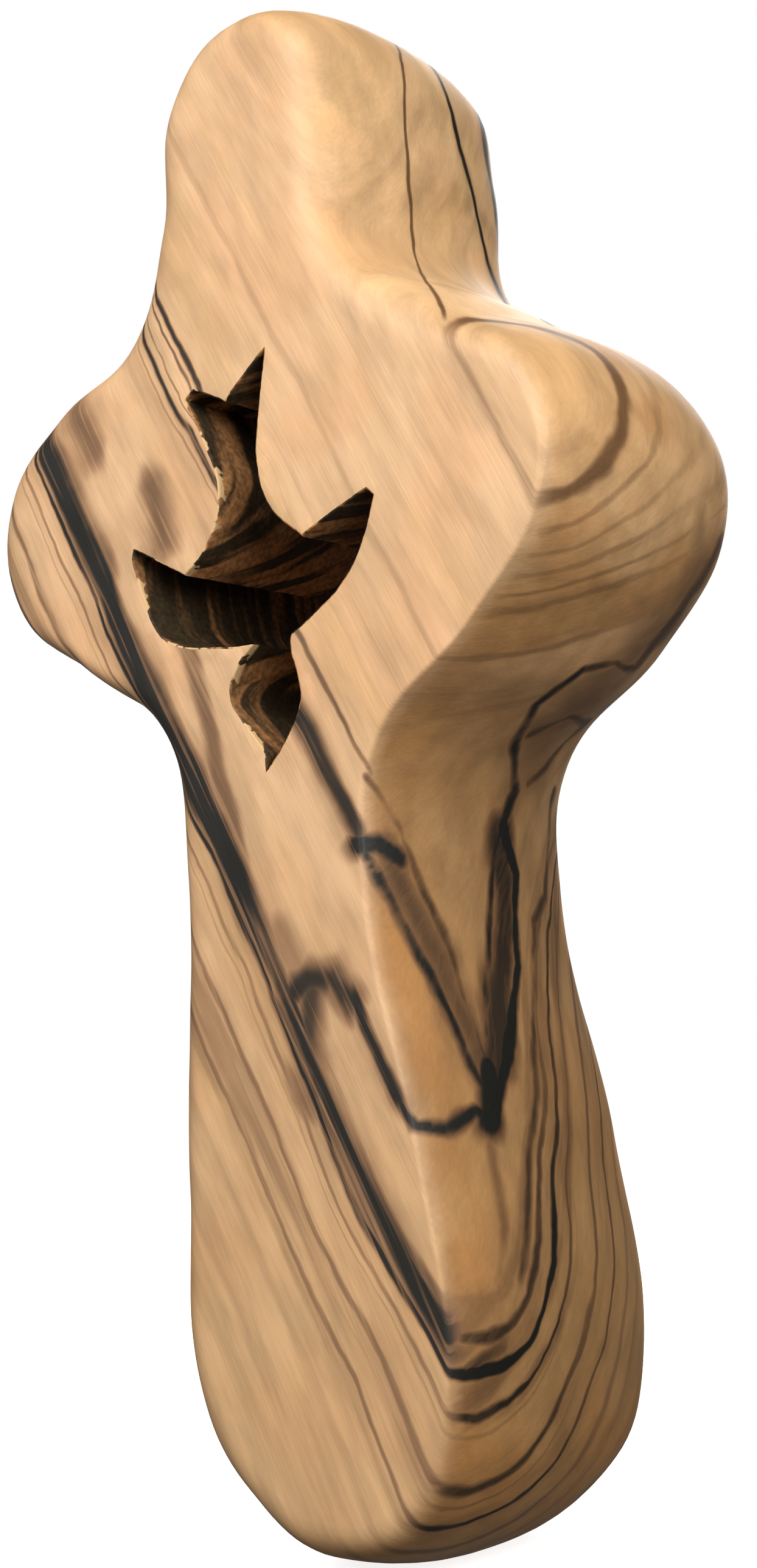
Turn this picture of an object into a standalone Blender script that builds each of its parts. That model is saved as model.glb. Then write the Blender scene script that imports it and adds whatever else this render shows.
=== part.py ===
"""Olive-wood holding cross with a descending dove cut through it.

The cross stands upright: +Z runs up its long arm, -Y is the front face and +X is to a viewer's
right. The origin is the middle of its bounding box. All sizes are in metres.
"""
import math

import bmesh
import bpy

# Body
crossHeight = 0.1200    # crown to foot, over the swelled flanks
crossSpan = 0.0603      # tip to tip of the short arms, over the swelled flanks
crossDepth = 0.0248     # front face to back face
flankSwell = 0.0023     # how far the flanks swell out past the flat faces
edgeRound = 0.0007      # rounding where the faces meet the flanks
headWidth = 0.0164      # front face across the top arm
waistWidth = 0.0182     # front face at its narrowest, under the arms
gripWidth = 0.0240      # front face across the palm, near the foot
armHeight = 0.0190      # the short arms' tips above the middle
armRise = 0.0180        # from the tips' level up to the armpits above
waistDrop = 0.0110      # the waist and the grip below the middle
gripDrop = 0.0460
stemShift = 0.0007      # the long arm lies this far to the right of the middle

# Dove
doveWidth = 0.0249      # wing tip to wing tip
doveHeight = 0.0321     # tail tip to beak
doveShift = 0.0003      # its middle, to the right of the cross's middle
doveDrop = 0.0046       # and below the short arms' tips

# Mesh
outlineSteps = 6        # straight pieces between two points of the outline
doveSteps = 4
flankRings = 7          # rings of vertices round the flanks, between the faces


def makeCollection(name):
    collection = bpy.data.collections.new(name)
    bpy.context.scene.collection.children.link(collection)
    return collection


def crossOutline():
    """The front face's outline, clockwise from the crown, as (x, z). Hand carving has left its
    two sides a little unlike."""
    top = crossHeight / 2 - flankSwell
    tip = crossSpan / 2 - flankSwell
    head = headWidth / 2
    waist = waistWidth / 2
    grip = gripWidth / 2
    palm = gripDrop - waistDrop
    rightSide = [
        (stemShift + 0.80 * head, top - 0.33 * head),
        (stemShift + head, top - 1.30 * head),
        (stemShift + 1.08 * head, armHeight + armRise),
        (0.655 * tip, armHeight + 0.57 * armRise),
        (0.955 * tip, armHeight + 0.20 * armRise),
        (0.975 * tip, armHeight - 0.26 * armRise),
        (0.74 * tip, armHeight - 0.70 * armRise),
        (stemShift + 1.14 * waist, armHeight - 1.12 * armRise),
        (stemShift + 0.95 * waist, -waistDrop),
        (stemShift + 0.98 * grip, -waistDrop - 0.55 * palm),
        (stemShift + 1.08 * grip, -gripDrop),
        (stemShift + 0.78 * grip, -top + 0.24 * grip),
    ]
    leftSide = [
        (stemShift - 0.80 * head, top - 0.55 * head),
        (stemShift - head, top - 1.75 * head),
        (stemShift - 1.50 * head, armHeight + 0.88 * armRise),
        (-0.74 * tip, armHeight + 0.66 * armRise),
        (-0.97 * tip, armHeight + 0.34 * armRise),
        (-0.95 * tip, armHeight - 0.17 * armRise),
        (-0.69 * tip, armHeight - 0.50 * armRise),
        (stemShift - 1.18 * waist, armHeight - 0.90 * armRise),
        (stemShift - 1.04 * waist, -0.73 * waistDrop),
        (stemShift - 0.93 * grip, -waistDrop - 0.60 * palm),
        (stemShift - 0.91 * grip, -waistDrop - 1.06 * palm),
        (stemShift - 0.52 * grip, -top + 0.25 * grip),
    ]
    return [(stemShift, top)] + rightSide + [(stemShift, -top)] + leftSide[::-1]


# The dove flies straight down: its forked tail is at the top, its wings are spread and its beak
# is at the bottom. Each point is (x, z, corner), in shares of half its width and half its height.
doveOutline = [
    (0.23, 1.00, True),         # right tail feather
    (-0.125, 0.81, True),       # fork
    (-0.38, 0.915, True),       # left tail feather, cut off square
    (-0.46, 0.88, True),
    (-0.32, 0.66, False),
    (-0.215, 0.36, False),
    (-0.37, 0.11, False),
    (-0.55, 0.02, True),        # back of the left wing
    (-0.985, 0.215, True),      # left wing tip
    (-1.00, 0.165, True),
    (-0.91, -0.05, False),
    (-0.815, -0.215, False),
    (-0.705, -0.29, False),
    (-0.29, -0.37, False),
    (-0.01, -0.395, True),      # left of the neck
    (-0.147, -0.485, False),
    (-0.22, -0.61, False),
    (-0.125, -0.75, False),
    (0.043, -0.92, True),
    (0.034, -1.00, True),       # beak
    (0.21, -0.86, False),
    (0.335, -0.70, False),
    (0.324, -0.59, False),
    (0.283, -0.43, False),
    (0.298, -0.387, True),      # right of the neck
    (0.465, -0.325, False),
    (0.717, -0.206, False),
    (0.863, -0.073, False),
    (1.00, 0.153, True),        # right wing tip
    (0.95, 0.19, True),
    (0.658, 0.117, False),
    (0.434, 0.054, True),       # back of the right wing
    (0.183, 0.242, False),
    (0.105, 0.463, False),
    (0.14, 0.694, False),
]


def makePlate(name, points, corners, depth, steps, collection):
    """A plate with a Bezier outline, standing in the XZ plane with its middle at y = 0. Points
    that aren't corners are smooth."""
    curve = bpy.data.curves.new(name, "CURVE")
    curve.dimensions = "2D"
    curve.fill_mode = "BOTH"
    curve.extrude = depth / 2
    curve.resolution_u = steps
    curve.render_resolution_u = 0
    spline = curve.splines.new("BEZIER")
    spline.bezier_points.add(len(points) - 1)
    spline.use_cyclic_u = True
    for knot, (x, z), corner in zip(spline.bezier_points, points, corners):
        knot.co = (x, z, 0)
        kind = "VECTOR" if corner else "AUTO"
        knot.handle_left_type = kind
        knot.handle_right_type = kind
    outline = bpy.data.objects.new(name + "_outline", curve)
    outline.rotation_euler.x = math.radians(90)
    collection.objects.link(outline)
    bpy.context.view_layer.update()

    evaluated = outline.evaluated_get(bpy.context.evaluated_depsgraph_get())
    mesh = bpy.data.meshes.new_from_object(evaluated)
    mesh.name = name
    bm = bmesh.new()
    bm.from_mesh(mesh)
    bmesh.ops.remove_doubles(bm, verts=bm.verts, dist=0.00001)
    caps = [face for face in bm.faces if abs(face.normal.z) > 0.9]
    bmesh.ops.dissolve_faces(bm, faces=caps)
    bmesh.ops.recalc_face_normals(bm, faces=bm.faces)
    bm.to_mesh(mesh)
    bm.free()
    plate = bpy.data.objects.new(name, mesh)
    plate.matrix_world = outline.matrix_world
    collection.objects.link(plate)
    bpy.data.objects.remove(outline)
    return plate


def swellFlanks(plate, depth, swell, rings):
    """Ring the plate's flanks with vertices and move each ring outwards, most at mid depth."""
    bm = bmesh.new()
    bm.from_mesh(plate.data)
    across = [edge for edge in bm.edges if edge.calc_length() > 0.9 * depth
              and abs(edge.verts[0].co.z - edge.verts[1].co.z) > 0.9 * depth]
    bmesh.ops.subdivide_edges(bm, edges=across, cuts=rings, use_grid_fill=True)
    bm.normal_update()
    moves = []
    for vert in bm.verts:
        fromMiddle = abs(vert.co.z) / (depth / 2)
        if fromMiddle < 0.999:
            outwards = vert.normal.copy()
            outwards.z = 0
            moves.append((vert, outwards.normalized() * swell * (1 - fromMiddle ** 2.5)))
    for vert, move in moves:
        vert.co += move
    bm.to_mesh(plate.data)
    bm.free()


for old in list(bpy.data.objects):
    bpy.data.objects.remove(old)

parts = makeCollection("holding_cross")
cutters = makeCollection("cutters")

outline = crossOutline()
body = makePlate("cross_body", outline, [False] * len(outline), crossDepth, outlineSteps, parts)
swellFlanks(body, crossDepth, flankSwell, flankRings)

edges = body.modifiers.new("soft edges", "BEVEL")
edges.width = edgeRound
edges.segments = 2
edges.limit_method = "ANGLE"
edges.angle_limit = math.radians(40)

doveX = doveShift
doveZ = armHeight - doveDrop
dovePoints = [(doveX + x * doveWidth / 2, doveZ + z * doveHeight / 2) for x, z, corner in doveOutline]
doveCorners = [corner for x, z, corner in doveOutline]
dove = makePlate("dove_cutter", dovePoints, doveCorners, 2 * crossDepth, doveSteps, cutters)
dove.hide_render = True
dove.display_type = "WIRE"

cut = body.modifiers.new("dove", "BOOLEAN")
cut.operation = "DIFFERENCE"
cut.solver = "EXACT"
cut.object = dove

oliveWood = bpy.data.materials.new("olive_wood")
oliveWood.use_nodes = True
shader = oliveWood.node_tree.nodes["Principled BSDF"]
shader.inputs["Base Color"].default_value = (0.72, 0.47, 0.26, 1)
shader.inputs["Roughness"].default_value = 0.45
shader.inputs["Metallic"].default_value = 0
body.data.materials.append(oliveWood)

body.data.shade_smooth()
body.data.set_sharp_from_angle(angle=math.radians(35))
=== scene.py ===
import math

import bmesh
import bpy
from mathutils import Matrix, Vector, noise
from mathutils.geometry import delaunay_2d_cdt, interpolate_bezier


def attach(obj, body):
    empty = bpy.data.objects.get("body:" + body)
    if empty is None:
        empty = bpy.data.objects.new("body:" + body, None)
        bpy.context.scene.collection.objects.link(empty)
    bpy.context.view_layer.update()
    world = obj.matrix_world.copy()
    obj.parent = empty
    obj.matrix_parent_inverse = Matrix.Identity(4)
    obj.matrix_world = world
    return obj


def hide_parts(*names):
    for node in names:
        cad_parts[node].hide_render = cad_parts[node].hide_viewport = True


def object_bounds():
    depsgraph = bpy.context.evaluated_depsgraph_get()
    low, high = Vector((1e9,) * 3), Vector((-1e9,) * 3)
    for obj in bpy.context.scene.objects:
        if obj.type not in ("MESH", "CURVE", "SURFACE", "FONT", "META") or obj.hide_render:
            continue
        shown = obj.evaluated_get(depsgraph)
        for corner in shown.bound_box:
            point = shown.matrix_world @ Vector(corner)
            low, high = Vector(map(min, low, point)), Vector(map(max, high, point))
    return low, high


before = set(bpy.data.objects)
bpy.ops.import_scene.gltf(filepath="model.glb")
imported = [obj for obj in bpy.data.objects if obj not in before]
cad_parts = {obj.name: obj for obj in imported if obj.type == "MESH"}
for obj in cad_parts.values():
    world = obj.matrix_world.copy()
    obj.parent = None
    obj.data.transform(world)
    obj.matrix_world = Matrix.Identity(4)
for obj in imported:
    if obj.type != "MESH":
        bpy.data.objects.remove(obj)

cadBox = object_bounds()

# A holding cross in olive wood with a descending dove cut through it. Metres, +Z up the long arm,
# -Y the front face.

cross = {
    "height": 0.1200, "span": 0.0603, "depth": 0.0248,
    "swell": 0.0023,            # how far the flanks swell past the flat faces
    "swellPower": 2.5,          # higher keeps them fuller towards the edges
    "headWidth": 0.0164, "waistWidth": 0.0182, "gripWidth": 0.0240,
    "armHeight": 0.0190, "armRise": 0.0180,
    "waistDrop": 0.0110, "gripDrop": 0.0460,
    "stemShift": 0.0007,
    "softest": 0.0026,          # how far the softest edges are sanded back
    "crispest": 0.12,           # the crispest ones, as a share of that
    "turnBand": 0.12,           # share of the half depth in which a face becomes flank
    "spacing": 0.0008,          # between points round the outline and over the faces
    "rowPitch": 0.87, "clearance": 0.6,     # of the net over the faces, in spacings
    "flankRows": 26, "roundRows": 6,
    "handWork": 0.00010,        # how uneven the sanding is
    "handWaves": (90, 260),     # and how close its slow and quick waves are
    "sharpAngle": 50,
}

dove = {
    "width": 0.0249, "height": 0.0321, "shift": 0.0003, "drop": 0.0046,
    "spacing": 0.0004, "wallRows": 30,
    "rim": 0.00014,             # the sharp rim, broken a little
    "rimCurve": [(1.0, 0.0), (0.35, 0.15), (0.05, 0.6)],    # outwards and inwards, in rims
    "charDepth": 0.0006,        # how soon the wall is charred, from the rim
    "rough": 0.00005,
    "roughAcross": 2600, "roughThrough": 500,
}


def crossOutline():
    # clockwise from the crown: (x, z, softness of the edge from 0 to 1)
    top = cross["height"] / 2 - cross["swell"]
    tip = cross["span"] / 2 - cross["swell"]
    head = cross["headWidth"] / 2
    waist = cross["waistWidth"] / 2
    grip = cross["gripWidth"] / 2
    shift, armHeight, armRise = cross["stemShift"], cross["armHeight"], cross["armRise"]
    waistDrop, gripDrop = cross["waistDrop"], cross["gripDrop"]
    palm = gripDrop - waistDrop
    rightSide = [
        (shift + 0.80 * head, top - 0.33 * head, 0.9),
        (shift + head, top - 1.30 * head, 0.9),
        (shift + 1.08 * head, armHeight + armRise, 1.0),
        (0.655 * tip, armHeight + 0.57 * armRise, 1.0),
        (0.955 * tip, armHeight + 0.20 * armRise, 0.40),
        (0.975 * tip, armHeight - 0.26 * armRise, 0.13),
        (0.74 * tip, armHeight - 0.70 * armRise, 0.13),
        (shift + 1.14 * waist, armHeight - 1.12 * armRise, 0.16),
        (shift + 0.95 * waist, -waistDrop, 0.16),
        (shift + 0.98 * grip, -waistDrop - 0.55 * palm, 0.12),
        (shift + 1.08 * grip, -gripDrop, 0.14),
        (shift + 0.78 * grip, -top + 0.24 * grip, 0.6),
    ]
    leftSide = [
        (shift - 0.80 * head, top - 0.55 * head, 0.8),
        (shift - head, top - 1.75 * head, 0.8),
        (shift - 1.50 * head, armHeight + 0.88 * armRise, 0.8),
        (-0.74 * tip, armHeight + 0.66 * armRise, 0.8),
        (-0.97 * tip, armHeight + 0.34 * armRise, 0.8),
        (-0.95 * tip, armHeight - 0.17 * armRise, 0.6),
        (-0.69 * tip, armHeight - 0.50 * armRise, 0.4),
        (shift - 1.18 * waist, armHeight - 0.90 * armRise, 0.5),
        (shift - 1.04 * waist, -0.73 * waistDrop, 0.6),
        (shift - 0.93 * grip, -waistDrop - 0.60 * palm, 0.7),
        (shift - 0.91 * grip, -waistDrop - 1.06 * palm, 0.8),
        (shift - 0.52 * grip, -top + 0.25 * grip, 0.9),
    ]
    return [(shift, top, 0.9)] + rightSide + [(shift, -top, 0.8)] + leftSide[::-1]


# The dove flies straight down. Each point is (x, z, corner) in shares of half its width and
# half its height, counter-clockwise from the right tail feather.
doveOutline = [
    (0.23, 1.00, True), (-0.125, 0.81, True), (-0.38, 0.915, True), (-0.46, 0.88, True),
    (-0.32, 0.66, False), (-0.215, 0.36, False), (-0.37, 0.11, False), (-0.55, 0.02, True),
    (-0.985, 0.215, True), (-1.00, 0.165, True), (-0.91, -0.05, False), (-0.815, -0.215, False),
    (-0.705, -0.29, False), (-0.29, -0.37, False), (-0.01, -0.395, True), (-0.147, -0.485, False),
    (-0.22, -0.61, False), (-0.125, -0.75, False), (0.043, -0.92, True), (0.034, -1.00, True),
    (0.21, -0.86, False), (0.335, -0.70, False), (0.324, -0.59, False), (0.283, -0.43, False),
    (0.298, -0.387, True), (0.465, -0.325, False), (0.717, -0.206, False), (0.863, -0.073, False),
    (1.00, 0.153, True), (0.95, 0.19, True), (0.658, 0.117, False), (0.434, 0.054, True),
    (0.183, 0.242, False), (0.105, 0.463, False), (0.14, 0.694, False),
]


def smoothLoop(points, corners, extras, spacing):
    # points along a closed Bezier outline, each with its extra value and its outward normal
    curve = bpy.data.curves.new("outline", "CURVE")
    spline = curve.splines.new("BEZIER")
    spline.bezier_points.add(len(points) - 1)
    spline.use_cyclic_u = True
    for knot, (x, z), corner in zip(spline.bezier_points, points, corners):
        knot.co = (x, z, 0)
        knot.handle_left_type = knot.handle_right_type = "VECTOR" if corner else "AUTO"
    holder = bpy.data.objects.new("outline", curve)
    bpy.context.scene.collection.objects.link(holder)
    bpy.context.view_layer.update()
    knots = list(spline.bezier_points)
    loop = []
    for k, knot in enumerate(knots):
        after = knots[(k + 1) % len(knots)]
        steps = max(2, round((after.co - knot.co).length / spacing))
        bend = interpolate_bezier(knot.co, knot.handle_right, after.handle_left, after.co,
                                  steps + 1)
        for step in range(steps):
            share = step / steps
            value = extras[k] + (extras[(k + 1) % len(knots)] - extras[k]) * share
            loop.append((bend[step].xy, value))
    bpy.data.objects.remove(holder)
    bpy.data.curves.remove(curve)
    area = sum(a[0].x * b[0].y - b[0].x * a[0].y for a, b in zip(loop, loop[1:] + loop[:1]))
    side = 1 if area > 0 else -1
    finished = []
    for i, (point, value) in enumerate(loop):
        before = (point - loop[i - 1][0]).normalized()
        after = (loop[(i + 1) % len(loop)][0] - point).normalized()
        along = (before + after).normalized()
        outwards = Vector((along.y, -along.x)) * side
        finished.append((point, value, outwards))
    return finished


def insideLoop(loop, spot):
    inside = False
    for a, b in zip(loop, loop[1:] + loop[:1]):
        if (a.y > spot.y) != (b.y > spot.y):
            if spot.x < a.x + (spot.y - a.y) / (b.y - a.y) * (b.x - a.x):
                inside = not inside
    return inside


def flankSection(soft):
    # (outwards, y) across the edge from the front face to the back face
    half = cross["depth"] / 2

    def bulge(y):
        return cross["swell"] * (1 - abs(y / half) ** cross["swellPower"])

    rounding = []
    for row in range(cross["roundRows"]):
        t = row / cross["roundRows"]
        start, corner = Vector((-soft, -half)), Vector((0, -half))
        end = Vector((bulge(-half + soft), -half + soft))
        rounding.append(start * (1 - t) ** 2 + corner * 2 * t * (1 - t) + end * t ** 2)
    rows = cross["flankRows"]
    flank = []
    for row in range(rows + 1):
        y = -half + soft + (2 * half - 2 * soft) * row / rows
        flank.append(Vector((bulge(y), y)))
    back = [Vector((p.x, -p.y)) for p in reversed(rounding)]
    return rounding + flank + back


def sanded(place):
    # slow unevenness left by hand sanding
    slow, quick = cross["handWaves"]
    return (noise.noise(place * slow) + 0.4 * noise.noise(place * quick)) * cross["handWork"]


def doveWallSection():
    # (outwards, y) down the wall of the dove from the front rim to the back rim
    half, rim, rows = cross["depth"] / 2, dove["rim"], dove["wallRows"]
    front = [(rim * out, -half + rim * y) for out, y in dove["rimCurve"]]
    middle = [(0, -half + 2 * rim + (2 * half - 4 * rim) * row / rows) for row in range(rows + 1)]
    return front + middle + [(out, -y) for out, y in reversed(front)]


def bridge(rings):
    faces = []
    count = len(rings[0])
    for ringA, ringB in zip(rings, rings[1:]):
        for i in range(count):
            j = (i + 1) % count
            faces.append((ringA[i], ringA[j], ringB[j], ringB[i]))
    return faces


def makeCross():
    outline = crossOutline()
    edge = smoothLoop([p[:2] for p in outline], [False] * len(outline),
                      [p[2] for p in outline], cross["spacing"])
    doveZ = cross["armHeight"] - dove["drop"]
    spots = [(dove["shift"] + x * dove["width"] / 2, doveZ + z * dove["height"] / 2)
             for x, z, corner in doveOutline]
    cut = smoothLoop(spots, [p[2] for p in doveOutline], [0] * len(spots), dove["spacing"])
    half = cross["depth"] / 2

    verts, turn, char = [], [], []      # char: how charred a point is, from 0 to 1

    def addVert(x, y, z, turned, charred):
        verts.append(Vector((x, y, z)))
        turn.append(turned)             # 0 on the faces and 1 on the flanks
        char.append(charred)
        return len(verts) - 1

    # one ring of points for each row of the section
    sections = [flankSection(cross["softest"] * max(cross["crispest"], soft))
                for _, soft, _ in edge]
    flankRings = []
    for row in range(len(sections[0])):
        ring = []
        for (point, soft, outwards), section in zip(edge, sections):
            out, y = section[row]
            place = point + outwards * out
            turned = min(1, (1 - abs(y) / half) / cross["turnBand"])
            ring.append(addVert(place.x, y, place.y, turned, 0))
        flankRings.append(ring)
    faces = bridge(flankRings)

    doveRings = []
    across, through = dove["roughAcross"], dove["roughThrough"]
    for out, y in doveWallSection():
        ring = []
        for point, _, outwards in cut:
            spot = Vector((point.x * across, y * through, point.y * across))
            place = point + outwards * (out + noise.noise(spot) * dove["rough"])
            charred = min(1, (half - abs(y)) / dove["charDepth"])
            ring.append(addVert(place.x, y, place.y, 0, charred))
        doveRings.append(ring)
    wallFaces = bridge(doveRings)

    # the flat faces: a net of points between the outline and the dove
    spacing = cross["spacing"]
    for sideY, flankRing, doveRing in ((-half, flankRings[0], doveRings[0]),
                                       (half, flankRings[-1], doveRings[-1])):
        names = list(flankRing) + list(doveRing)
        spots = [Vector((verts[i].x, verts[i].z)) for i in names]
        count = len(flankRing)
        links = [(i, (i + 1) % count) for i in range(count)]
        links += [(count + i, count + (i + 1) % len(doveRing)) for i in range(len(doveRing))]
        outer, inner = spots[:count], spots[count:]
        fixed = outer + inner
        left, right = min(s.x for s in fixed), max(s.x for s in outer)
        top = max(s.y for s in outer)
        z = min(s.y for s in fixed) + spacing / 2
        odd = False
        while z < top:
            near = [s for s in fixed if abs(s.y - z) < spacing]
            x = left + (spacing / 2 if odd else 0)
            while x < right:
                spot = Vector((x, z))
                if insideLoop(outer, spot) and not insideLoop(inner, spot):
                    clear = min(((s - spot).length for s in near), default=spacing)
                    if clear > cross["clearance"] * spacing:
                        spots.append(spot)
                        names.append(addVert(x, sideY, z, 0, 0))
                x += spacing
            z += spacing * cross["rowPitch"]
            odd = not odd
        _, _, triangles, origins, _, _ = delaunay_2d_cdt(spots, links, [], 1, 1e-7)
        for triangle in triangles:
            corners = [names[origins[i][0]] for i in triangle]
            centre = sum((verts[i] for i in corners), Vector()) / 3
            if not insideLoop(inner, centre.xz):
                faces.append(tuple(corners))

    mesh = bpy.data.meshes.new("cross_wood")
    mesh.from_pydata(verts, [], faces + wallFaces)
    for index in range(len(faces), len(faces) + len(wallFaces)):
        mesh.polygons[index].material_index = 1
    for name, values in (("turn", turn), ("char", char)):
        attribute = mesh.attributes.new(name, "FLOAT", "POINT")
        attribute.data.foreach_set("value", values)

    bm = bmesh.new()
    bm.from_mesh(mesh)
    bmesh.ops.recalc_face_normals(bm, faces=bm.faces)
    bm.normal_update()
    for vert in bm.verts:
        if not any(face.material_index for face in vert.link_faces):
            vert.co += vert.normal * (sanded(vert.co) - cross["handWork"])
    bm.to_mesh(mesh)
    bm.free()
    mesh.shade_smooth()
    mesh.set_sharp_from_angle(angle=math.radians(cross["sharpAngle"]))
    piece = bpy.data.objects.new("cross_wood", mesh)
    bpy.context.scene.collection.objects.link(piece)
    return piece


crossWood = makeCross()
print("cross:", len(crossWood.data.polygons), "faces")

# From here to the finishes, places and sizes in the wood are in millimetres, and depth is counted
# from the front face.
grain = {
    "acrossShare": 0.894, "upShare": 0.447,     # how fast the growth layers rise with x and z
    # how they lean as they run from the front face to the back, and how that changes
    "lean": 0.53, "leanUp": 0.25, "leanDeep": 0.08, "leanBoth": -0.19, "leanBend": -0.04,
    "warp": 1.6, "warpScale": 0.07,             # slow waves in the layers
    "ripple": 0.55, "rippleScale": 0.28,        # quick ones
    "smear": 1.0,                               # the quick ones, on the dark strokes
    "fibre": (0.447, 0.0, -0.894),              # along the fibres, and the two ways across them
    "tangent": (0.477, 0.846, 0.239), "radial": (0.757, -0.533, 0.379),
}

# Places where the layers are pushed aside: centre, reach, push.
swirls = [
    ((15, -3, -38), 6, -0.6), ((-12, 8, 5), 8, 2.5), ((0, 12, -30), 9, -2.5),
    ((8, -12, -33), 6, 0.8), ((13, -11, -45), 5, -0.8),
]

# Streaks drawn out along the fibres: how often they change in a millimetre on the radial, the
# fibre and the tangent, and how much detail they have.
streakSizes = {
    "broad": (0.35, 0.015, 0.05, 2.0), "cloudy": (0.30, 0.09, 0.2, 4.0),
    "mottled": (0.55, 0.12, 0.40, 5.0), "faint": (0.55, 0.015, 0.05, 3.0),
    "fibres": (3.2, 0.06, 0.5, 3.0), "hairs": (9.0, 0.16, 2.5, 2.0),
    "veinWidth": (0.25, 0.07, 0.2, 2.0), "veinBreaks": (1.3, 0.035, 0.15, 2.0),
    "bandStreaks": (0.9, 0.03, 0.12, 3.0), "burnt": (0.9, 0.03, 0.1, 3.0),
}

allHeights = (-99, 99)      # 99 is past either end of the cross

# Dark veins, by growth layer: layer, half width, darkness on the faces and on the flanks, z range.
veins = [
    (30.2, 0.60, 0.30, 0.50, (-99, 32)), (28.3, 0.30, 0.00, 0.26, (-99, 29)),
    (26.5, 0.30, 0.00, 0.22, (-99, 29)), (24.8, 0.45, 0.05, 0.26, (-99, 29)),
    (23.2, 0.30, 0.00, 0.28, (-99, 29)), (21.8, 0.50, 0.05, 0.30, (-99, 29)),
    (17.4, 0.55, 0.20, 0.30, (-99, 52)), (13.4, 0.25, 0.12, 0.10, (-99, 29)),
    (11.6, 0.16, 0.12, 0.06, (-99, 29)),
    (9.5, 0.28, 0.78, 0.60, (17, 99)), (8.8, 0.16, 0.58, 0.50, (17, 99)),
    (7.7, 0.14, 0.42, 0.40, (18, 99)), (6.9, 0.34, 0.80, 0.60, (15, 99)),
    (6.1, 0.14, 0.36, 0.30, (15, 99)),
    (-1.6, 0.95, 0.86, 0.00, (-27.5, -18)),
    (-7.2, 1.60, 0.95, 0.36, allHeights), (-8.5, 0.34, 0.84, 1.00, allHeights),
    (-7.2, 0.32, 0.20, 0.72, allHeights), (-6.1, 0.45, 0.20, 0.34, allHeights),
    (-10.0, 0.24, 0.42, 0.78, allHeights), (-10.7, 0.14, 0.24, 0.25, allHeights),
    (-13.2, 0.42, 0.48, 0.70, allHeights), (-14.4, 0.18, 0.22, 0.30, allHeights),
    (-16.2, 0.36, 0.46, 0.80, allHeights), (-19.5, 0.60, 0.16, 0.42, allHeights),
    (-23.0, 0.70, 0.14, 0.30, allHeights),
]

# Broad brown bands behind the veins: first and last layer, darkness on the faces and on the
# flanks, z range.
bands = [
    (-24.0, -21.5, 0.16, 0.16, allHeights), (-17.2, -12.6, 0.34, 0.20, allHeights),
    (-10.6, -8.2, 0.20, 0.46, allHeights), (-8.2, -5.4, 0.10, 0.34, allHeights),
    (-8.9, -5.5, 0.66, 0.34, (-99, -18)),
    (17.0, 18.4, 0.10, 0.22, allHeights), (21.2, 22.6, 0.05, 0.20, allHeights),
    (24.0, 25.6, 0.05, 0.18, allHeights),
]

# Veins that cross the layers: shares of x, of depth and of z, place, half width, darkness, z
# range, depth range, x range.
crossingVeins = [
    ((0.894, 0.55, 0.447), 4.6, 1.20, 0.80, (-9, 7), (-9, 0.6), (2, 40)),
    ((0.894, 0.55, 0.447), 7.9, 0.40, 0.62, (-4.5, 12), (-9, 0.6), (2, 40)),
    ((0.975, -0.60, 0.22), -4.6, 1.15, 0.55, (-13, 11), (-9, 8), (-9, 4)),
    ((1.0, 1.0, 0.0), 20.5, 0.30, 0.52, (28, 70), (1, 14), (6, 20)),
    ((1.0, 1.0, 0.33), 43.9, 0.42, 0.88, (29, 70), (9, 24), (6, 20)),
    ((1.0, 1.0, 0.10), 37.2, 0.50, 0.82, (29, 70), (14, 26), (6, 20)),
]

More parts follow.
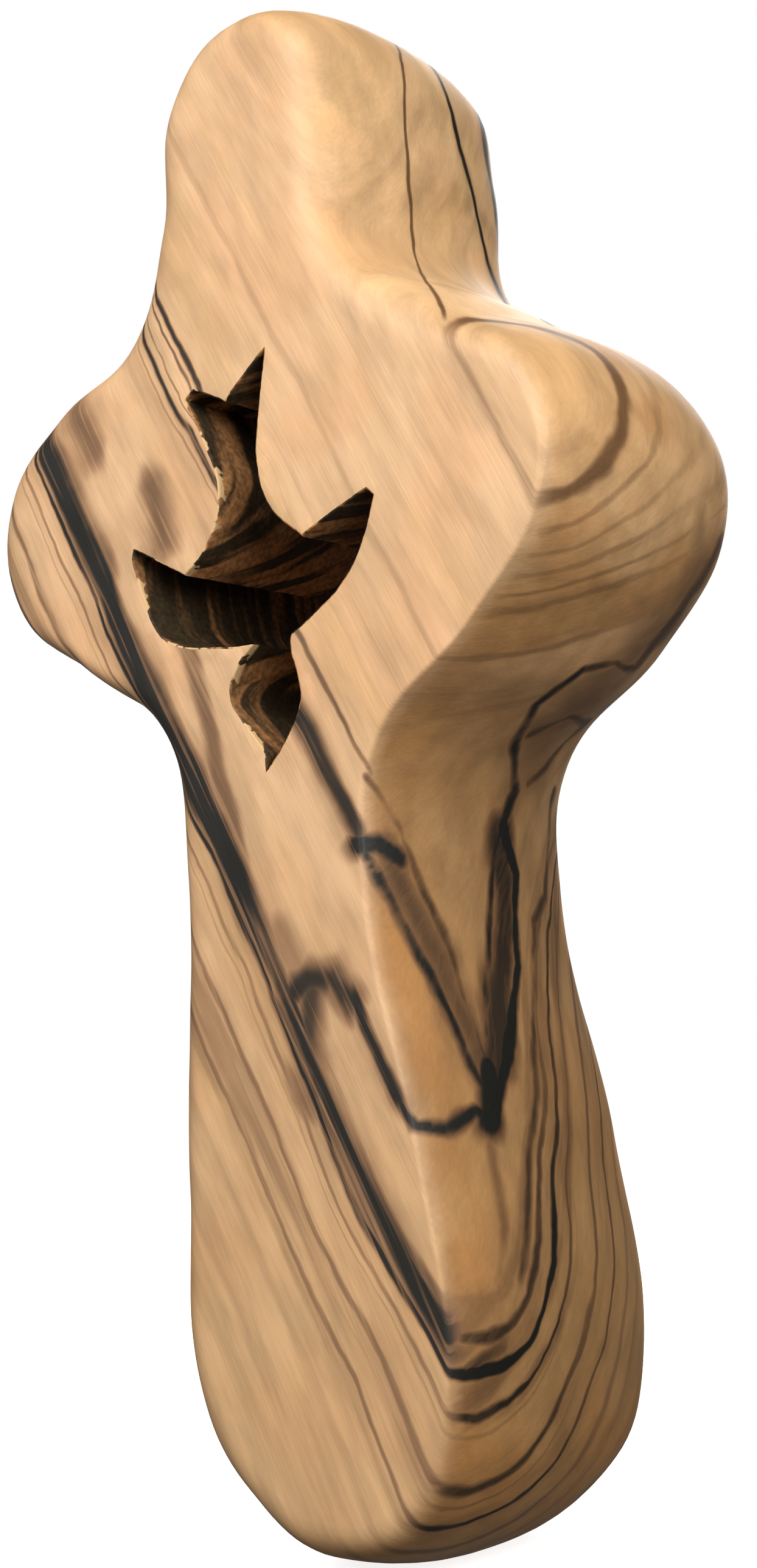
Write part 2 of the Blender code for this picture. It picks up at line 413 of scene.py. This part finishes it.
# Dark strokes: the points they run through, half width, darkness and how soft their edges are,
# from 0 to 1.
strokes = [
    # the arch on the front of the stem
    ([(0.8, -12.4, -13.5), (2.4, -12.4, -17.0)], 1.6, 0.42, 1.0),
    ([(1.9, -12.4, -18.5), (3.3, -12.4, -17.6), (5.8, -12.4, -17.8), (7.6, -12.4, -19.6)],
     1.7, 0.80, 0.9),
    ([(3.6, -12.4, -18.5), (3.2, -12.4, -22.0), (4.0, -12.4, -25.5)], 1.9, 0.74, 0.9),
    # smudges on the left arm
    ([(-18.6, -12.4, 32.0), (-16.0, -12.4, 27.0)], 1.7, 0.55, 1.0),
    ([(-9.7, -12.4, 22.5), (-8.7, -12.4, 18.0)], 1.9, 0.58, 1.0),
    # the V on the right flank: its left limb
    ([(8.6, -12.4, -8.5), (9.8, -11.2, -8.2), (10.6, -9.4, -9.2)], 1.1, 0.98, 0.9),
    ([(9.2, -12.2, -8.7), (10.5, -9.6, -13.5), (11.4, -7.8, -17.5), (14.0, -5.5, -27.0)],
     0.62, 0.85, 1.0),
    ([(9.9, -12.2, -3.5), (10.6, -9.3, -7.0), (11.5, -5.8, -14.5), (13.7, -4.6, -25.0)],
     0.50, 0.74, 0.9),
    ([(9.8, -10.4, -8.5), (11.4, -6.8, -16.0), (13.6, -5.2, -25.0)], 1.6, 0.60, 0.9),
    # its right limb
    ([(11.7, 2.0, -6.3), (11.5, 3.4, -10.0), (12.1, 1.9, -17.0), (14.2, -5.4, -28.3)],
     0.72, 1.00, 0.8),
    ([(11.8, 2.0, -5.8), (11.6, 0.7, -9.0), (11.8, -0.9, -14.5), (13.4, -4.4, -23.5)],
     0.50, 0.80, 0.9),
    ([(11.7, 1.9, -7.0), (11.8, 1.2, -14.5), (13.6, -3.8, -24.5)], 1.8, 0.75, 0.7),
    ([(13.8, -4.8, -24.6), (14.2, -5.7, -28.4)], 1.3, 1.00, 0.8),
    # the curve joining the arch to the V
    ([(11.2, -12.4, -26.3), (12.2, -12.0, -28.1), (13.2, -9.8, -28.7), (13.8, -7.0, -27.6),
      (14.2, -5.6, -28.3)], 0.66, 0.90, 0.9),
    # the long line beside the V
    ([(10.7, 10.4, -3.5), (10.5, 9.8, -8.0), (10.9, 8.0, -11.7), (11.4, 5.6, -13.6),
      (14.9, -2.5, -31.8), (15.6, -5.4, -38.5), (15.3, -8.3, -43.7), (14.3, -11.0, -45.2)],
     0.50, 0.70, 0.9),
    ([(14.3, -6.2, -29.5), (15.1, -6.6, -35.5), (15.2, -8.6, -40.6), (13.4, -12.0, -42.4)],
     0.50, 0.42, 1.0),
    # the swirl under the right arm, and a broad painted shade under the arm around it
    ([(11.7, 1.9, -6.3), (12.3, 3.3, -3.8), (14.0, 0.9, -1.1), (17.6, -1.0, 1.5),
      (21.3, 0.4, 4.0)], 0.62, 0.85, 0.9),
    ([(21.3, 0.4, 4.0), (21.8, 4.0, 4.6), (20.8, 8.0, 4.5)], 0.6, 0.70, 0.8),
    ([(12.2, 5.1, -3.4), (12.6, 7.1, -1.9), (15.0, 9.6, 1.3), (16.6, 5.2, 1.2),
      (14.9, 1.7, -0.2)], 0.55, 0.66, 0.9),
    ([(21.2, 8.0, 4.9), (26.0, 8.8, 9.8), (27.3, 10.8, 13.1)], 1.5, 0.66, 0.9),
    # a broad painted shade under the right arm
    ([(14.0, 4.5, -1.5), (20.0, 4.5, 4.5), (27.0, 9.0, 11.0)], 5.0, 0.40, 1.0),
]

# How the figure is drawn. Four numbers are a fade: start, end, and the values there.
drawing = {
    "veinWidth": (0.25, 0.75, 0.7, 1.6),    # a vein narrows and widens along its streaks
    "breaks": (0.36, 0.60, 0.42, 0.92),     # gaps in the broad veins
    "breaksEnd": (-22, -8, 0, 1),           # none above here
    "behind": (8, 15, 1.0, 0.72),           # veins are paler deep in the wood
    "bandStreaks": (0.34, 0.62, 0.25, 1.0),
    "core": (1.25, 0.25, 0.72), "halo": (3.2, 0.2, 0.28),   # outer edge, inner edge, darkness
    "broadVein": 1.0,                       # a half width past this counts as broad
    "heightFade": 1.5, "crossingFade": 0.8, "bandFade": 0.5,
}


def put(tree, kind, inputs=None, **settings):
    made = tree.nodes.new("ShaderNode" + kind)
    for setting, value in settings.items():
        setattr(made, setting, value)
    for key, value in (inputs or {}).items():
        if isinstance(value, bpy.types.NodeSocket):
            tree.links.new(value, made.inputs[key])
        else:
            made.inputs[key].default_value = value
    return made


def calc(tree, operation, *values):
    return put(tree, "Math", dict(enumerate(values)), operation=operation).outputs[0]


def vector(tree, operation, inputs, output="Vector"):
    return put(tree, "VectorMath", inputs, operation=operation).outputs[output]


def fade(tree, value, start, end, low=0.0, high=1.0):
    # low at start, high at end, smooth between
    if start > end:
        start, end, low, high = end, start, high, low
    made = put(tree, "MapRange", {"Value": value, "From Min": start, "From Max": end,
                                  "To Min": low, "To Max": high}, interpolation_type="SMOOTHSTEP")
    return made.outputs["Result"]


def within(tree, value, low, high, soft):
    return calc(tree, "MULTIPLY", fade(tree, value, low - soft, low + soft),
                fade(tree, value, high + soft, high - soft))


def blend(tree, share, first, second, kind="MIX"):
    made = put(tree, "Mix", data_type="RGBA", blend_type=kind, clamp_result=False)
    for index, value in ((0, share), (6, first), (7, second)):
        if isinstance(value, bpy.types.NodeSocket):
            tree.links.new(value, made.inputs[index])
        elif index:
            made.inputs[index].default_value = (*value, 1)
        else:
            made.inputs[index].default_value = value
    return made.outputs[2]


def speckle(tree, place, scale, detail=2.0):
    made = put(tree, "TexNoise", {"Vector": place, "Scale": scale, "Detail": detail})
    return made.outputs["Fac"]


def unevenness(tree, place, scale, detail):
    # a small push whose direction changes from place to place
    made = put(tree, "TexNoise", {"Vector": place, "Scale": scale, "Detail": detail})
    return vector(tree, "SUBTRACT", {0: made.outputs["Color"], 1: (0.5, 0.5, 0.5)})


def pushed(tree, place, push, amount):
    return vector(tree, "MULTIPLY_ADD", {0: push, 1: (amount,) * 3, 2: place})


def growthLayers(tree):
    # where a point is in the block of wood: its place, its growth layer and its fibre coordinates
    place = put(tree, "TexCoord").outputs["Object"]
    place = vector(tree, "SCALE", {0: place, "Scale": 1000.0})
    ripple = unevenness(tree, place, grain["rippleScale"], 2.0)
    warped = pushed(tree, place, unevenness(tree, place, grain["warpScale"], 1.0), grain["warp"])
    smeared = pushed(tree, warped, ripple, grain["smear"])
    warped = pushed(tree, warped, ripple, grain["ripple"])
    parts = put(tree, "SeparateXYZ", {"Vector": warped}).outputs
    x, z = parts["X"], parts["Z"]
    depth = calc(tree, "ADD", parts["Y"], cross["depth"] * 500)
    up = calc(tree, "DIVIDE", z, 30.0)
    deep = calc(tree, "DIVIDE", depth, 10.0)
    layer = calc(tree, "ADD", calc(tree, "MULTIPLY", x, grain["acrossShare"]),
                 calc(tree, "MULTIPLY", z, grain["upShare"]))
    lean = calc(tree, "MULTIPLY_ADD", up, grain["leanUp"], grain["lean"])
    lean = calc(tree, "MULTIPLY_ADD", deep, grain["leanDeep"], lean)
    both = calc(tree, "MULTIPLY_ADD", up, grain["leanBoth"],
                calc(tree, "MULTIPLY", deep, grain["leanBend"]))
    lean = calc(tree, "MULTIPLY_ADD", deep, both, lean)
    layer = calc(tree, "SUBTRACT", layer, calc(tree, "MULTIPLY", depth, lean))
    for centre, reach, push in swirls:
        away = vector(tree, "DISTANCE", {0: warped, 1: centre}, "Value")
        bump = calc(tree, "POWER", calc(tree, "DIVIDE", away, reach * 1.414), 2.0)
        bump = calc(tree, "EXPONENT", calc(tree, "MULTIPLY", bump, -1.0))
        layer = calc(tree, "MULTIPLY_ADD", bump, push, layer)
    wood = {"place": place, "smeared": smeared, "x": x, "z": z, "depth": depth, "layer": layer}
    for way in ("fibre", "tangent", "radial"):
        wood[way] = vector(tree, "DOT_PRODUCT", {0: place, 1: grain[way]}, "Value")
    return wood


def streaks(tree, wood, name):
    radial, fibre, tangent, detail = streakSizes[name]
    spread = put(tree, "CombineXYZ", {
        "X": calc(tree, "MULTIPLY", wood["radial"], radial),
        "Y": calc(tree, "MULTIPLY", wood["fibre"], fibre),
        "Z": calc(tree, "MULTIPLY", wood["tangent"], tangent)}).outputs[0]
    return speckle(tree, spread, 1.0, detail)


def veinLine(tree, distance, width, darkness):
    # a dark core with a paler halo
    line = []
    for outer, inner, share in (drawing["core"], drawing["halo"]):
        line.append(fade(tree, distance, width * outer, width * inner, 0, share * darkness))
    return calc(tree, "ADD", *line)


def strokeDistance(tree, place, points):
    nearest = None
    for start, end in zip(points, points[1:]):
        run = Vector(end) - Vector(start)
        fromStart = vector(tree, "SUBTRACT", {0: place, 1: start})
        share = vector(tree, "DOT_PRODUCT", {0: fromStart, 1: run / run.length_squared}, "Value")
        share = put(tree, "Clamp", {"Value": share}).outputs[0]
        onRun = vector(tree, "SCALE", {0: tuple(run), "Scale": share})
        distance = vector(tree, "DISTANCE", {0: fromStart, 1: onRun}, "Value")
        nearest = calc(tree, "MINIMUM", nearest, distance) if nearest else distance
    return nearest


def darkFigure(tree, wood, turn):
    # how dark each place is from its veins, bands and strokes, from 0 to 1
    uneven = fade(tree, streaks(tree, wood, "veinWidth"), *drawing["veinWidth"])
    broken = fade(tree, streaks(tree, wood, "veinBreaks"), *drawing["breaks"])
    broken = calc(tree, "MAXIMUM", broken, fade(tree, wood["z"], *drawing["breaksEnd"]))
    behind = fade(tree, wood["depth"], *drawing["behind"])
    streaked = fade(tree, streaks(tree, wood, "bandStreaks"), *drawing["bandStreaks"])
    marks = []

    def apart(value, place):
        distance = calc(tree, "ABSOLUTE", calc(tree, "SUBTRACT", value, place))
        return calc(tree, "MULTIPLY", distance, uneven)

    def strengthened(mark, onFace, onFlank, share):
        strength = calc(tree, "MULTIPLY_ADD", turn, onFlank - onFace, onFace)
        return calc(tree, "MULTIPLY", mark, calc(tree, "MULTIPLY", strength, share))

    def limited(mark, heights):
        if heights == allHeights:
            return mark
        return calc(tree, "MULTIPLY", mark,
                    within(tree, wood["z"], *heights, drawing["heightFade"]))

    for layer, width, onFace, onFlank, heights in veins:
        line = veinLine(tree, apart(wood["layer"], layer), width, 1)
        line = strengthened(line, onFace, onFlank, behind)
        if width > drawing["broadVein"]:
            line = calc(tree, "MULTIPLY", line, broken)
        marks.append(limited(line, heights))
    for first, last, onFace, onFlank, heights in bands:
        band = within(tree, wood["layer"], first, last, drawing["bandFade"])
        marks.append(limited(strengthened(band, onFace, onFlank, streaked), heights))
    sides = put(tree, "CombineXYZ", {"X": wood["x"], "Y": wood["depth"], "Z": wood["z"]})
    for shares, place, width, darkness, heights, depths, widths in crossingVeins:
        value = vector(tree, "DOT_PRODUCT", {0: sides.outputs[0], 1: shares}, "Value")
        line = veinLine(tree, apart(value, place), width, darkness)
        for side, span in (("z", heights), ("depth", depths), ("x", widths)):
            limit = within(tree, wood[side], *span, drawing["crossingFade"])
            line = calc(tree, "MULTIPLY", line, limit)
        marks.append(line)
    for points, width, darkness, soft in strokes:
        distance = calc(tree, "MULTIPLY", strokeDistance(tree, wood["smeared"], points), uneven)
        marks.append(fade(tree, distance, width * (1 + soft), width * (1 - soft), 0, darkness))
    total = marks[0]
    for mark in marks[1:]:
        total = calc(tree, "MAXIMUM", total, mark)
    return total


oiled = {
    "pale": (0.75, 0.480, 0.270), "honey": (0.66, 0.405, 0.185), "rose": (0.74, 0.440, 0.235),
    "brown": (0.30, 0.165, 0.085), "black": (0.022, 0.020, 0.017),
    "deepBrown": (0.180, 0.088, 0.034), "deepBlack": (0.006, 0.006, 0.004),     # on the flanks
    "cloud": (0.50, 0.310, 0.160),
    "flank": (0.97, 0.95, 0.84),        # painted warm light on the flanks
    "stemShadow": (0.54, 0.475, 0.345),       # painted shadow of the arms, darkening the flanks below them
    "faceShade": (0.91, 0.90, 0.87),          # painted shade: the faces a little darker down there too
    "amberAndShade": (0.42, 0.200, 0.062),      # amber: painted shade on the rounded band beside the front edge and under the arms, the wood's own amber along layers in the arms, and amber towards the foot
    # Where each tone comes in. Two or four numbers are a fade: start, end, and the values there.
    "rosy": (0.42, 0.62), "honeyed": (0.48, 0.75, 0, 0.55), "honeyFoot": (-12, -45, 0, 0.4),
    # heights where the painted shadow of the arms on the stem flanks and the painted shade on the
    # faces come in
    "clouded": (0.44, 0.68, 0, 0.38), "stemShadowHeight": (14, -4), "faceShadeHeight": (5, -30),
    # painted shade beside the front edge of the stem and under the arms, then amber towards the
    # foot
    "edgeShadeDepth": (7.0, 2.0), "edgeShadeHeight": (4, -4), "amberFoot": (-42, -54, 0, 0.9),
    "underArmShadeDepth": (6.0, 1.5), "underArmShadeHeight": (16, 8, 0, 0.35),
    "inArmLayers": (16.4, 18.4, 0, 0.7), "inArmHeight": (30, 25),
    "amberPatches": (0.38, 0.55, 0.40, 1.0),
    "faintFigure": (0.52, 0.76, 0, 0.20),
    "veinGaps": (0.30, 0.52, 0.68, 1.0), "flankGaps": 0.93,     # fibres that stay pale in a vein
    "toBrown": (0.0, 0.5), "toBlack": (0.38, 0.85),
    "fibreShade": (0.35, 0.70, 0.975, 1.02), "hairShade": (0.35, 0.65, 0.965, 1.035),
    "mottleShade": (0.32, 0.66, 0.88, 1.08),
    "cloudScale": 0.09,
    "roughness": (0.3, 0.7, 0.38, 0.48), "hairRoughness": 0.10, "specular": 0.35,
    "bump": 0.25, "bumpHeight": 0.00005,
}


def oiledWood():
    material = bpy.data.materials.new("oiledOliveWood")
    material.use_nodes = True
    tree = material.node_tree
    shader = tree.nodes["Principled BSDF"]
    wood = growthLayers(tree)
    turn = put(tree, "Attribute", attribute_name="turn").outputs["Fac"]

    def tone(value, name):
        return fade(tree, value, *oiled[name])

    def times(first, second):
        return calc(tree, "MULTIPLY", first, second)

    def most(first, second):
        return calc(tree, "MAXIMUM", first, second)

    # the pale ground
    clouds = speckle(tree, wood["place"], oiled["cloudScale"], 3.0)
    colour = blend(tree, tone(clouds, "rosy"), oiled["pale"], oiled["rose"])
    honey = most(tone(streaks(tree, wood, "broad"), "honeyed"), tone(wood["z"], "honeyFoot"))
    colour = blend(tree, honey, colour, oiled["honey"])
    cloudy = tone(streaks(tree, wood, "cloudy"), "clouded")
    colour = blend(tree, cloudy, colour, oiled["cloud"])

    # painted light and shade: warm painted light on the flanks, painted shadow of the arms on the
    # flanks below them, and painted shade towards the bottom of the faces
    flankLightAndShadow = blend(tree, tone(wood["z"], "stemShadowHeight"), oiled["flank"], oiled["stemShadow"])
    flankLitAndShaded = blend(tree, 1.0, colour, flankLightAndShadow, "MULTIPLY")
    shadedFaces = blend(tree, 1.0, colour, oiled["faceShade"], "MULTIPLY")
    shadedFaces = blend(tree, tone(wood["z"], "faceShadeHeight"), colour, shadedFaces)
    colour = blend(tree, turn, shadedFaces, flankLitAndShaded)
    # amber beside the front edge of the stem and under the arms is painted shade; along layers in
    # the arms it is the wood's own amber, and it also comes in towards the foot
    amberAndShade = times(tone(wood["depth"], "edgeShadeDepth"), tone(wood["z"], "edgeShadeHeight"))
    underArmShade = times(tone(wood["depth"], "underArmShadeDepth"), tone(wood["z"], "underArmShadeHeight"))
    inArm = times(tone(wood["layer"], "inArmLayers"), tone(wood["z"], "inArmHeight"))
    amberAndShade = most(most(amberAndShade, most(underArmShade, inArm)), tone(wood["z"], "amberFoot"))
    amberAndShade = times(times(amberAndShade, turn), tone(clouds, "amberPatches"))
    colour = blend(tree, amberAndShade, colour, oiled["amberAndShade"])

    # the dark figure, through which the fibres let a little pale wood show
    fibres = streaks(tree, wood, "fibres")
    hairs = streaks(tree, wood, "hairs")
    faint = tone(streaks(tree, wood, "faint"), "faintFigure")
    figure = most(darkFigure(tree, wood, turn), faint)
    figure = times(figure, most(tone(fibres, "veinGaps"), times(turn, oiled["flankGaps"])))
    brown = blend(tree, turn, oiled["brown"], oiled["deepBrown"])
    black = blend(tree, turn, oiled["black"], oiled["deepBlack"])
    colour = blend(tree, tone(figure, "toBrown"), colour, brown)
    colour = blend(tree, tone(figure, "toBlack"), colour, black)

    mottled = tone(streaks(tree, wood, "mottled"), "mottleShade")
    shade = times(times(tone(fibres, "fibreShade"), mottled), tone(hairs, "hairShade"))
    colour = vector(tree, "SCALE", {0: colour, "Scale": shade})
    tree.links.new(colour, shader.inputs["Base Color"])

    shader.inputs["Specular IOR Level"].default_value = oiled["specular"]
    gloss = calc(tree, "MULTIPLY_ADD", hairs, oiled["hairRoughness"], tone(clouds, "roughness"))
    tree.links.new(gloss, shader.inputs["Roughness"])
    bump = put(tree, "Bump", {"Height": calc(tree, "ADD", fibres, hairs),
                              "Strength": oiled["bump"], "Distance": oiled["bumpHeight"]})
    tree.links.new(bump.outputs["Normal"], shader.inputs["Normal"])
    return material


charred = {
    "scorched": (0.045, 0.029, 0.013), "singed": (0.42, 0.195, 0.070), "chip": (0.66, 0.43, 0.21),
    # fades: start, end, and the values there
    "toSinged": (0.46, 0.64), "soot": (0.3, 0.7, 0.60, 1.25),
    "chips": (0.46, 0.62, 0, 0.85), "chipEdge": (0.0, 0.25), "chipSide": (2.5, 0.5),
    "roughness": (0.3, 0.7, 0.62, 0.85), "specular": 0.25,
    "sootScale": 2.2, "chipScale": 0.55, "bumpScale": 3.0, "detail": 3.0,
    "bump": 0.5, "bumpHeight": 0.0001,
}


def charredWood():
    material = bpy.data.materials.new("charredCut")
    material.use_nodes = True
    tree = material.node_tree
    shader = tree.nodes["Principled BSDF"]
    wood = growthLayers(tree)

    def spots(scale):
        return speckle(tree, wood["place"], charred[scale], charred["detail"])

    burnt = streaks(tree, wood, "burnt")
    colour = blend(tree, fade(tree, burnt, *charred["toSinged"]), charred["scorched"],
                   charred["singed"])
    soot = fade(tree, spots("sootScale"), *charred["soot"])
    colour = vector(tree, "SCALE", {0: colour, "Scale": soot})
    # pale chips along the left rims, where the cut broke out
    char = put(tree, "Attribute", attribute_name="char").outputs["Fac"]
    chips = calc(tree, "SUBTRACT", fade(tree, spots("chipScale"), *charred["chips"]), char)
    chips = calc(tree, "MULTIPLY", fade(tree, chips, *charred["chipEdge"]),
                 fade(tree, wood["x"], *charred["chipSide"]))
    colour = blend(tree, chips, colour, charred["chip"])
    tree.links.new(colour, shader.inputs["Base Color"])

    shader.inputs["Specular IOR Level"].default_value = charred["specular"]
    tree.links.new(fade(tree, burnt, *charred["roughness"]), shader.inputs["Roughness"])
    bump = put(tree, "Bump", {"Height": spots("bumpScale"), "Strength": charred["bump"],
                              "Distance": charred["bumpHeight"]})
    tree.links.new(bump.outputs["Normal"], shader.inputs["Normal"])
    return material


crossWood.data.materials.append(oiledWood())
crossWood.data.materials.append(charredWood())
print("wood:", len(veins) + len(crossingVeins), "veins and", len(strokes), "strokes")

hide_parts("cross_body")
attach(crossWood, "root")

floorSettings = {
    "reach": 6.0, "colour": (0.93, 0.93, 0.93, 1), "roughness": 0.95, "specular": 0.1,
    "glow": 0.82,               # keeps it paper-white
}


def makeFloor():
    reach, height = floorSettings["reach"], cadBox[0][2]
    mesh = bpy.data.meshes.new("paleFloor")
    mesh.from_pydata([(-reach, -reach, height), (reach, -reach, height),
                      (reach, reach, height), (-reach, reach, height)], [], [(0, 1, 2, 3)])
    floor = bpy.data.objects.new("paleFloor", mesh)
    bpy.context.scene.collection.objects.link(floor)
    paper = bpy.data.materials.new("palePaper")
    paper.use_nodes = True
    shader = paper.node_tree.nodes["Principled BSDF"]
    shader.inputs["Base Color"].default_value = floorSettings["colour"]
    shader.inputs["Roughness"].default_value = floorSettings["roughness"]
    shader.inputs["Specular IOR Level"].default_value = floorSettings["specular"]
    shader.inputs["Emission Color"].default_value = (1, 1, 1, 1)
    shader.inputs["Emission Strength"].default_value = floorSettings["glow"]
    mesh.materials.append(paper)
    floor.visible_diffuse = False       # keeps the undersides from being lit white
    floor.visible_glossy = False        # and the flanks from mirroring it


makeFloor()
print("floor: laid at", round(cadBox[0][2], 4))

# kind, place, target, power, colour, and size in metres, or in degrees for the sun
lamps = {
    "overheadLight": ("SUN", (0.28, -0.66, 0.70), (0, 0, 0), 0.88, (1.0, 0.985, 0.96), 28),
    "frontSoftbox": ("AREA", (0.02, -0.31, 0.19), (0, 0, 0.01), 1.02, (1.0, 0.97, 0.94), 0.24),
    "sideSoftbox": ("AREA", (0.20, -0.08, 0.05), (0.01, 0, 0.01), 0.31, (1.0, 0.985, 0.96), 0.14),
    "rearSoftbox": ("AREA", (-0.16, 0.32, 0.20), (0, 0, 0), 0.9, (1.0, 0.985, 0.96), 0.24),
}


def addLamp(name, kind, place, target, power, colour, size):
    data = bpy.data.lights.new(name, kind)
    data.energy = power
    data.color = colour
    if kind == "AREA":
        data.size = size
    else:
        data.angle = math.radians(size)
    lamp = bpy.data.objects.new(name, data)
    lamp.location = place
    lamp.rotation_euler = (Vector(target) - Vector(place)).to_track_quat("-Z", "Y").to_euler()
    bpy.context.scene.collection.objects.link(lamp)


for name, settings in lamps.items():
    addLamp(name, *settings)

studio = {"onCross": 0.14, "behindCross": 1.0}      # how strong the white surroundings are


def makeStudio():
    world = bpy.data.worlds.new("studio")
    world.use_nodes = True
    tree = world.node_tree
    backdrop = tree.nodes["Background"]
    backdrop.inputs["Color"].default_value = (1, 1, 1, 1)
    seen = put(tree, "LightPath").outputs["Is Camera Ray"]
    strength = put(tree, "MapRange", {"Value": seen, "To Min": studio["onCross"],
                                      "To Max": studio["behindCross"]})
    tree.links.new(strength.outputs["Result"], backdrop.inputs["Strength"])
    bpy.context.scene.world = world
    bpy.context.scene.view_settings.view_transform = "Standard"


makeStudio()
print("lights:", len(lamps), "lamps and a white studio")

view = {
    "place": (0.1098, -0.1332, -0.0241),
    "right": (0.758, 0.649, -0.067), "up": (0.144, -0.067, 0.987),      # of the view
    "lens": 50.55, "sensor": 36, "shift": (0.0220, -0.0226), "clipStart": 0.005,
}


def addCamera():
    right = Vector(view["right"]).normalized()
    up = Vector(view["up"])
    up = (up - right * up.dot(right)).normalized()
    turned = Matrix((right, up, right.cross(up))).transposed().to_4x4()
    camera = bpy.data.cameras.new("camera")
    camera.lens = view["lens"]
    camera.sensor_width = view["sensor"]
    camera.shift_x, camera.shift_y = view["shift"]
    camera.clip_start = view["clipStart"]
    viewer = bpy.data.objects.new("camera", camera)
    viewer.matrix_world = Matrix.Translation(view["place"]) @ turned
    bpy.context.scene.collection.objects.link(viewer)
    bpy.context.scene.camera = viewer


addCamera()
print("camera: set")
